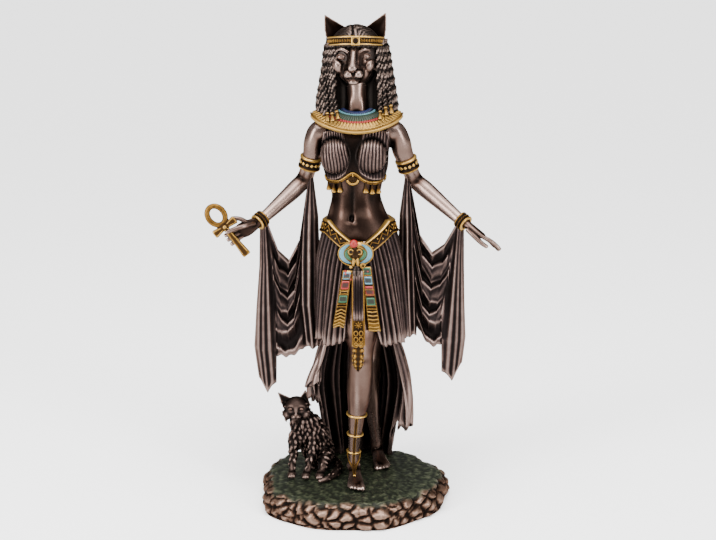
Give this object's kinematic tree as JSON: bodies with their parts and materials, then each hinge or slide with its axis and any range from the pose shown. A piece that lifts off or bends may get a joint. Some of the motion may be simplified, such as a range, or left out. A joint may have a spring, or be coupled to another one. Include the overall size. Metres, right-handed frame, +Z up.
{
  "type": "cat headed goddess statue",
  "caption": "Cast figure of a cat-headed Egyptian goddess striding with an ankh and draped shawl, a seated cat beside her, on a low rocky base.",
  "frame": {"origin": "on the flat underside of the base, below the middle of the figure", "axes": "+Z up, -Y is the front that the figure faces, +X is the viewer's right"},
  "size_m": [0.1623, 0.0995, 0.2799],
  "materials": {
    "figure_bronze": "cold-cast bronze resin, dark brown patina rubbed back to copper on the high places",
    "gilt": "aged gold paint with a dark wash",
    "cat_bronze": "cold-cast bronze resin, dark brown, rubbed fur",
    "rock": "dark bronze rock with green moss paint"
  },
  "bodies": {
    "root": {"bastet_figure": "figure_bronze", "ankh": "gilt", "seated_cat": "cat_bronze", "rocky_base": "rock"}
  },
  "joints": []
}
